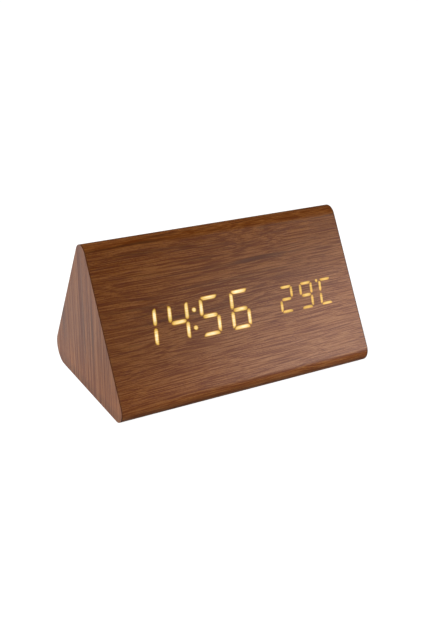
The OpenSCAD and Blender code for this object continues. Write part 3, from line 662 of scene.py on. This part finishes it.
# %% Finish: lit digits
LIGHT_TONES = [
    (0.0, (0.0, 0.0, 0.0)), (0.08, (0.16, 0.062, 0.004)), (0.25, (0.41, 0.240, 0.016)),
    (0.5, (0.62, 0.42, 0.055)), (0.78, (0.81, 0.63, 0.24)), (1.0, (0.96, 0.86, 0.58)),
]
UNEVEN_SCALE = 170.0
UNEVEN_RANGE = 0.3, 0.7, 0.87, 1.08
STREAK_RANGE = 0.0, 1.0, 0.86, 1.05
lit_finish = walnut("lit_digits")
tree, shader, coords = open_finish(lit_finish)
shader.inputs["Emission Strength"].default_value = 1.0
figure = next(node for node in tree.nodes if node.type == "GROUP").outputs
stored = add_node(tree, "ShaderNodeAttribute", attribute_name="glow", attribute_type="GEOMETRY")
uneven = span(tree, noise(tree, coords["Object"], UNEVEN_SCALE, 1.0), *UNEVEN_RANGE)
through_streaks = span(tree, figure["Streaks"], *STREAK_RANGE)
glow = calc(tree, "MULTIPLY", calc(tree, "MULTIPLY", stored.outputs["Fac"], uneven), through_streaks)
tree.links.new(ramp(tree, glow, LIGHT_TONES), shader.inputs["Emission Color"])
digit_data.materials.append(lit_finish)
print(lit_finish.name, "on the lit digits, with", len(LIGHT_TONES), "tones of light")

# %% [markdown]
# ## Moulded plastic
#
# The rear panel, the battery box and the buttons are injection moulded with a fine spark-eroded texture.
# It shows as a satin surface with a faint sparkle, so the group gives a fine grain for the bump and a
# slower mottling for the colour and the gloss. Every plastic part shares it, each with its own colours.

# %% Node group: moulded skin
SKIN_GRAIN = 3200.0
MOTTLE_SCALE = 650.0
moulded_skin, given, put = new_group(
    "moulded_skin",
    [("Vector", "NodeSocketVector", (0.0, 0.0, 0.0)), ("Grain", "NodeSocketFloat", SKIN_GRAIN)],
    ["Fine", "Mottle"],
)
grain_inputs = {"Vector": given["Vector"], "Scale": given["Grain"]}
fine_grain = add_node(moulded_skin, "ShaderNodeTexVoronoi", grain_inputs).outputs[0]
mottling = noise(moulded_skin, given["Vector"], MOTTLE_SCALE, 2.0, 0.6)
moulded_skin.links.new(fine_grain, put["Fine"])
moulded_skin.links.new(span(moulded_skin, mottling, 0.3, 0.7), put["Mottle"])
print("moulded_skin nodes:", len(moulded_skin.nodes))

# %% [markdown]
# ## Plastic parts
#
# One function makes every plastic finish from two close tones of a colour, two values of roughness and
# the depth of the texture. The panel is satin, the power socket glossier, and the rubber feet are dull
# and coarse. Inside, the reflector and the diffuser are white, and the wires have coloured sleeves.

# %% Finishes: plastic parts
SKIN_STRENGTH = 0.35


def plastic(name, dark, light, smooth, rough, depth_mm=0.02):
    finish, tree, shader, coords = new_finish(name)
    skin = use_group(tree, moulded_skin, {"Vector": coords["Object"], "Grain": SKIN_GRAIN})
    tree.links.new(ramp(tree, skin["Mottle"], [(0.0, dark), (1.0, light)]), shader.inputs["Base Color"])
    tree.links.new(span(tree, skin["Mottle"], 0.0, 1.0, smooth, rough), shader.inputs["Roughness"])
    add_bump(tree, shader, skin["Fine"], depth_mm, SKIN_STRENGTH)
    return finish


dress(plastic("panel_black", (0.017, 0.016, 0.015), (0.021, 0.020, 0.019), 0.44, 0.52),
      "control_panel", "battery_tray", "battery_door")
dress(plastic("jack_black", (0.010, 0.010, 0.011), (0.016, 0.016, 0.017), 0.28, 0.38), "power_jack")
dress(plastic("chip_black", (0.014, 0.014, 0.015), (0.024, 0.024, 0.025), 0.5, 0.62),
      "controller_chip", "buzzer", "set_plunger", "down_plunger", "up_plunger", "temperature_sensor")
dress(plastic("socket_ivory", (0.66, 0.60, 0.47), (0.76, 0.71, 0.58), 0.4, 0.5),
      "wire_sockets", "cable_plug")
dress(plastic("reflector_white", (0.82, 0.82, 0.80), (0.90, 0.90, 0.88), 0.25, 0.35), "reflector_block")
dress(plastic("diffuser_white", (0.78, 0.78, 0.75), (0.86, 0.86, 0.83), 0.5, 0.6), "diffuser_film")
dress(plastic("led_yellow", (0.78, 0.60, 0.13), (0.90, 0.74, 0.22), 0.2, 0.3), "led_chips")
dress(plastic("capacitor_sleeve", (0.012, 0.018, 0.060), (0.022, 0.032, 0.095), 0.22, 0.3), "capacitors")
dress(plastic("foot_rubber", (0.018, 0.018, 0.018), (0.034, 0.034, 0.034), 0.72, 0.88, depth_mm=0.05),
      "foot_pads")
dress(plastic("red_wire", (0.40, 0.012, 0.012), (0.50, 0.022, 0.020), 0.35, 0.45), "red_lead")
dress(plastic("black_wire", (0.014, 0.014, 0.014), (0.024, 0.024, 0.024), 0.35, 0.45), "black_lead")
dress(plastic("grey_cable", (0.20, 0.20, 0.21), (0.28, 0.28, 0.29), 0.4, 0.5), "control_cable")

# %% [markdown]
# ## Buttons with painted marks
#
# Each cap has a mark pressed into it: a bar for setting, and two arrows. On such buttons the hollow is
# filled with white paint and the rest wiped clean. The paint needs no geometry of its own: whatever lies
# a little below the cap's flat top, and close to its middle, is inside the hollow and turns white.

# %% Finishes: buttons
PAINT_BELOW = 0.1 * MM
PAINT_REACH = 2.1 * MM
CAP_FLAT = 1e-6
PAINT_WHITE = (0.72, 0.72, 0.70, 1.0)
rear_out = Vector((0.0, math.sin(slope), math.cos(slope)))


def marked_button(part_name):
    finish = plastic(part_name, (0.044, 0.044, 0.046), (0.056, 0.056, 0.058), 0.36, 0.44)
    tree, shader, coords = open_finish(finish)
    points = [vertex.co for vertex in parts[part_name].data.vertices]
    top = max(point.dot(rear_out) for point in points)
    cap = [point for point in points if top - point.dot(rear_out) < CAP_FLAT]
    middle = sum(cap, Vector()) / len(cap)
    height = vector_calc(tree, "DOT_PRODUCT", coords["Object"], rear_out)["Value"]
    away = vector_calc(tree, "DISTANCE", coords["Object"], middle)["Value"]
    below = calc(tree, "LESS_THAN", height, top - PAINT_BELOW)
    painted = calc(tree, "MULTIPLY", below, calc(tree, "LESS_THAN", away, PAINT_REACH))
    marked = blend_colours(tree, painted, colour_of(shader), PAINT_WHITE)
    tree.links.new(marked, shader.inputs["Base Color"])
    return finish


for part_name in ("set_button", "down_button", "up_button"):
    dress(marked_button(part_name), part_name)

# %% [markdown]
# ## Plated metal
#
# The screws, contacts and switch housings are stamped or turned from plated steel. Rolling and turning
# leave fine parallel lines, which spread the highlights across them. A noise stretched along one axis
# gives those lines, and feeds both the gloss and a very shallow bump. A second, rounder noise stands for
# the tarnish that dulls the plating in places.

# %% Node group: rolled lines
LINE_SCALE = (220.0, 5200.0, 5200.0)
TARNISH_SCALE = 420.0
rolled_lines, given, put = new_group(
    "rolled_lines", [("Vector", "NodeSocketVector", (0.0, 0.0, 0.0))], ["Lines", "Tarnish"])
lines = noise(rolled_lines, stretched(rolled_lines, given["Vector"], LINE_SCALE), detail=2.0)
tarnish = noise(rolled_lines, given["Vector"], TARNISH_SCALE, 3.0)
rolled_lines.links.new(lines, put["Lines"])
rolled_lines.links.new(span(rolled_lines, tarnish, 0.35, 0.7), put["Tarnish"])
print("rolled_lines nodes:", len(rolled_lines.nodes))

# %% Finishes: plated metal
LINE_DEPTH_MM = 0.008
LINE_STRENGTH = 0.4


def metal(name, clean, dull, smooth, rough):
    finish, tree, shader, coords = new_finish(name, Metallic=1.0)
    surface = use_group(tree, rolled_lines, {"Vector": coords["Object"]})
    tones = ramp(tree, surface["Tarnish"], [(0.0, clean), (1.0, dull)])
    tree.links.new(tones, shader.inputs["Base Color"])
    tree.links.new(span(tree, surface["Lines"], 0.25, 0.75, smooth, rough), shader.inputs["Roughness"])
    add_bump(tree, shader, surface["Lines"], LINE_DEPTH_MM, LINE_STRENGTH)
    return finish


dress(metal("plated_steel", (0.62, 0.63, 0.64), (0.48, 0.48, 0.47), 0.22, 0.38),
      "display_screws", "control_screws", "crystal_can", "switch_bodies", "jack_pin")
dress(metal("contact_steel", (0.66, 0.65, 0.62), (0.52, 0.50, 0.46), 0.2, 0.34),
      "contact_plates", "contact_springs")
dress(metal("black_screw", (0.055, 0.055, 0.060), (0.035, 0.034, 0.034), 0.3, 0.45),
      "panel_screws", "tray_screws")

# %% [markdown]
# ## Fibreboard
#
# The case under the veneer is pressed fibreboard: a warm tan with short, randomly lying fibres, in denser
# and looser clumps. A fine noise for the fibres and a coarse one for the clumps are added up. The board
# doesn't show while the clock is closed, but it does once the clock is taken apart.

# %% Finish: fibreboard
FIBRE_SCALE = 1400.0
CLUMP_SCALE = 160.0
FIBRE_SHARE = 0.6
BOARD_TONES = [(0.3, (0.27, 0.165, 0.085)), (0.7, (0.47, 0.32, 0.19))]
fibre_finish, tree, shader, coords = new_finish("fibreboard", Specular_IOR_Level=0.2)
fibres = noise(tree, coords["Object"], FIBRE_SCALE, 4.0, 0.7)
clumps = noise(tree, coords["Object"], CLUMP_SCALE, 2.0, 0.5)
fibre_part = calc(tree, "MULTIPLY", fibres, FIBRE_SHARE)
pressed = calc(tree, "ADD", fibre_part, calc(tree, "MULTIPLY", clumps, 1.0 - FIBRE_SHARE))
tree.links.new(ramp(tree, pressed, BOARD_TONES), shader.inputs["Base Color"])
tree.links.new(span(tree, fibres, 0.3, 0.7, 0.8, 0.95), shader.inputs["Roughness"])
add_bump(tree, shader, fibres, depth_mm=0.05, strength=0.5)
dress(fibre_finish, "front_board", "rear_board", "base_board", "left_end_panel", "right_end_panel")

# %% [markdown]
# ## Circuit boards
#
# The circuit boards are green lacquer over glass cloth, so they get a fine mottled look, with lighter
# lines where copper tracks run beneath. A Brick texture draws those lines: its mortar is the track, and
# its bricks are the board between.

# %% Finish: circuit boards
BLACK = (0.0, 0.0, 0.0, 1.0)
TRACK_SCALE = 220.0
TRACK_WIDTH = 0.035
TRACK_GREEN = (0.045, 0.240, 0.095, 1.0)
WEAVE_SCALE = 2600.0
LACQUER_TONES = [(0.3, (0.012, 0.105, 0.040)), (0.7, (0.020, 0.150, 0.062))]
board_finish, tree, shader, coords = new_finish("circuit_green", Specular_IOR_Level=0.5)
tracks = add_node(tree, "ShaderNodeTexBrick", {
    "Vector": coords["Object"], "Scale": TRACK_SCALE, "Mortar Size": TRACK_WIDTH,
    "Color1": BLACK, "Color2": BLACK, "Mortar": WHITE,
}).outputs[0]
weave = noise(tree, coords["Object"], WEAVE_SCALE, 2.0, 0.5)
lacquer = ramp(tree, weave, LACQUER_TONES)
tree.links.new(blend_colours(tree, tracks, lacquer, TRACK_GREEN), shader.inputs["Base Color"])
tree.links.new(span(tree, weave, 0.3, 0.7, 0.28, 0.40), shader.inputs["Roughness"])
add_bump(tree, shader, weave, depth_mm=0.01, strength=0.3)
dress(board_finish, "display_board", "control_board")

# %% [markdown]
# ## The cells
#
# The four cells lie side by side, pointing alternate ways. Each has a plain teal sleeve with a pale grey
# band at its nub end and bare plated steel on the ends. The band is placed by the distance from the
# cell's own nub, so two finishes are made: one for cells that point right, one for those that point left.

# %% Finishes: cell sleeves
BAND_END_MM = 5.0
NUB_END_MM = 1.25
FLAT_END_MM = 44.25
SCUFF_SCALE = (300.0, 900.0, 900.0)
SLEEVE_TONES = (0.036, 0.098, 0.112), (0.044, 0.116, 0.132)
BAND_TONES = (0.50, 0.50, 0.49), (0.56, 0.56, 0.55)
STEEL_TONES = (0.50, 0.50, 0.49), (0.66, 0.66, 0.65)


def cell_sleeve(name, nub_x, way):
    finish, tree, shader, coords = new_finish(name)
    spot = add_node(tree, "ShaderNodeSeparateXYZ", {0: coords["Object"]}).outputs
    from_nub = calc(tree, "MULTIPLY", calc(tree, "SUBTRACT", nub_x, spot["X"]), way / MM)
    scuffs = noise(tree, stretched(tree, coords["Object"], SCUFF_SCALE), detail=3.0)
    sleeve, band, steel = (
        ramp(tree, scuffs, [(0.3, dark), (0.75, light)])
        for dark, light in (SLEEVE_TONES, BAND_TONES, STEEL_TONES))
    in_band = calc(tree, "LESS_THAN", from_nub, BAND_END_MM)
    at_nub = calc(tree, "LESS_THAN", from_nub, NUB_END_MM)
    at_ends = calc(tree, "MAXIMUM", at_nub, calc(tree, "GREATER_THAN", from_nub, FLAT_END_MM))
    colour = blend_colours(tree, at_ends, blend_colours(tree, in_band, sleeve, band), steel)
    tree.links.new(colour, shader.inputs["Base Color"])
    tree.links.new(at_ends, shader.inputs["Metallic"])
    tree.links.new(span(tree, scuffs, 0.3, 0.75, 0.26, 0.40), shader.inputs["Roughness"])
    add_bump(tree, shader, scuffs, depth_mm=0.01, strength=0.3)
    return finish


right_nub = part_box("cell_1")[1].x
left_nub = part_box("cell_2")[0].x
dress(cell_sleeve("cell_sleeve_right", right_nub, 1.0), "cell_1", "cell_3")
dress(cell_sleeve("cell_sleeve_left", left_nub, -1.0), "cell_2", "cell_4")

# %% [markdown]
# ## The floor
#
# The clock stands on a light table: a white floor that shines for the camera, so the background comes
# out white and the lamps' shadow all but disappears, as in a catalogue picture. A thin contact shadow is
# painted into that shine instead, darker where ambient occlusion finds the clock within about a
# millimetre. To other rays the floor is a dim grey, or the front would be lit from below. Beside the left
# end it is brighter in reflections, as if a
# white card lay there, which gives that end its pale sheen.

# %% Floor
FLOOR_SIDE = 12.0
FLOOR_CLOUDS = 6.0
FLOOR_TONES = [(0.3, (0.21, 0.21, 0.21)), (0.7, (0.23, 0.23, 0.23))]
FLOOR_DIM = 0.06
CARD_EDGE_RANGE = -73.5 * MM, -77 * MM, FLOOR_DIM, 0.5
CARD_DEPTH_RANGE = -20 * MM, 100 * MM, 0.72, 1.15
CONTACT_REACH = 1.2 * MM
CONTACT_RANGE = 0.1, 0.6, 0.1, 1.0
bpy.ops.mesh.primitive_plane_add(size=FLOOR_SIDE, location=(0.0, 0.0, 0.0))
floor = bpy.context.object
floor.name = "studio_floor"
floor_finish, tree, shader, coords = new_finish("studio_floor", Roughness=0.85, Specular_IOR_Level=0.1)
shader.inputs["Emission Color"].default_value = WHITE
clouds = noise(tree, coords["Object"], FLOOR_CLOUDS)
tree.links.new(ramp(tree, clouds, FLOOR_TONES), shader.inputs["Base Color"])
ray = add_node(tree, "ShaderNodeLightPath").outputs
spot = add_node(tree, "ShaderNodeSeparateXYZ", {0: coords["Object"]}).outputs
card_edge = span(tree, spot["X"], *CARD_EDGE_RANGE)
card = calc(tree, "MULTIPLY", card_edge, span(tree, spot["Y"], *CARD_DEPTH_RANGE))
in_gloss = calc(tree, "MAXIMUM", calc(tree, "MULTIPLY", ray["Is Glossy Ray"], card), FLOOR_DIM)
# Painted contact shadow: the floor's shine for the camera is dimmed where ambient occlusion finds the
# clock.
contact = add_node(tree, "ShaderNodeAmbientOcclusion", {"Distance": CONTACT_REACH}, samples=16)
openness = span(tree, contact.outputs["AO"], *CONTACT_RANGE)
to_camera = calc(tree, "MULTIPLY", ray["Is Camera Ray"], openness)
tree.links.new(calc(tree, "MAXIMUM", in_gloss, to_camera), shader.inputs["Emission Strength"])
floor.data.materials.append(floor_finish)
print(floor.name, "is", FLOOR_SIDE, "m wide")

# %% [markdown]
# ## The surroundings
#
# Beyond the floor the camera sees plain white, but the room gives almost no light of its own: a strong
# light from all round would flatten the wood and wash its colour out. A Light Path node makes the
# difference between the two. The plain Standard view transform keeps whites white.

# %% Surroundings
ROOM_COLOUR = (1.0, 0.985, 0.97, 1.0)
ROOM_LIGHT = 0.05
ROOM_SEEN = 1.05
world = bpy.data.worlds.new("studio_world")
world.use_nodes = True
background = world.node_tree.nodes["Background"]
background.inputs["Color"].default_value = ROOM_COLOUR
ray = add_node(world.node_tree, "ShaderNodeLightPath").outputs
strength = span(world.node_tree, ray["Is Camera Ray"], 0.0, 1.0, ROOM_LIGHT, ROOM_SEEN)
world.node_tree.links.new(strength, background.inputs["Strength"])
bpy.context.scene.world = world
bpy.context.scene.view_settings.view_transform = "Standard"
print("view transform:", bpy.context.scene.view_settings.view_transform)

# %% [markdown]
# ## The lamps
#
# Three soft lamps light the clock. One high behind the left end lights that end and the top edge. A low
# one close to the right front corner lights the front and leaves a soft reflection there, which fades
# towards the upper left. A weak one in front fills the shadows, and is hidden from glossy rays so that
# it adds no second reflection.

# %% Lamps
def soft_lamp(name, place, target, size, watts, in_reflections=True):
    lamp = bpy.data.lights.new(name, "AREA")
    lamp.shape = "RECTANGLE"
    lamp.size, lamp.size_y = size
    lamp.energy = watts
    holder = bpy.data.objects.new(name, lamp)
    holder.location = place
    holder.rotation_euler = (Vector(target) - Vector(place)).to_track_quat("-Z", "Y").to_euler()
    holder.visible_camera = False
    holder.visible_glossy = in_reflections
    bpy.context.scene.collection.objects.link(holder)


soft_lamp("back_lamp", place=(-0.8, 0.4, 0.8), target=(0.0, 0.0, 0.03), size=(0.9, 0.8), watts=15.0)
soft_lamp("front_lamp", place=(0.25, -0.25, 0.107), target=(0.085, 0.03, 0.05), size=(0.267, 0.213),
          watts=0.58)
soft_lamp("fill_lamp", place=(-0.18, -0.75, 0.32), target=(0.0, -0.02, 0.03), size=(0.4, 0.2),
          watts=2.0, in_reflections=False)
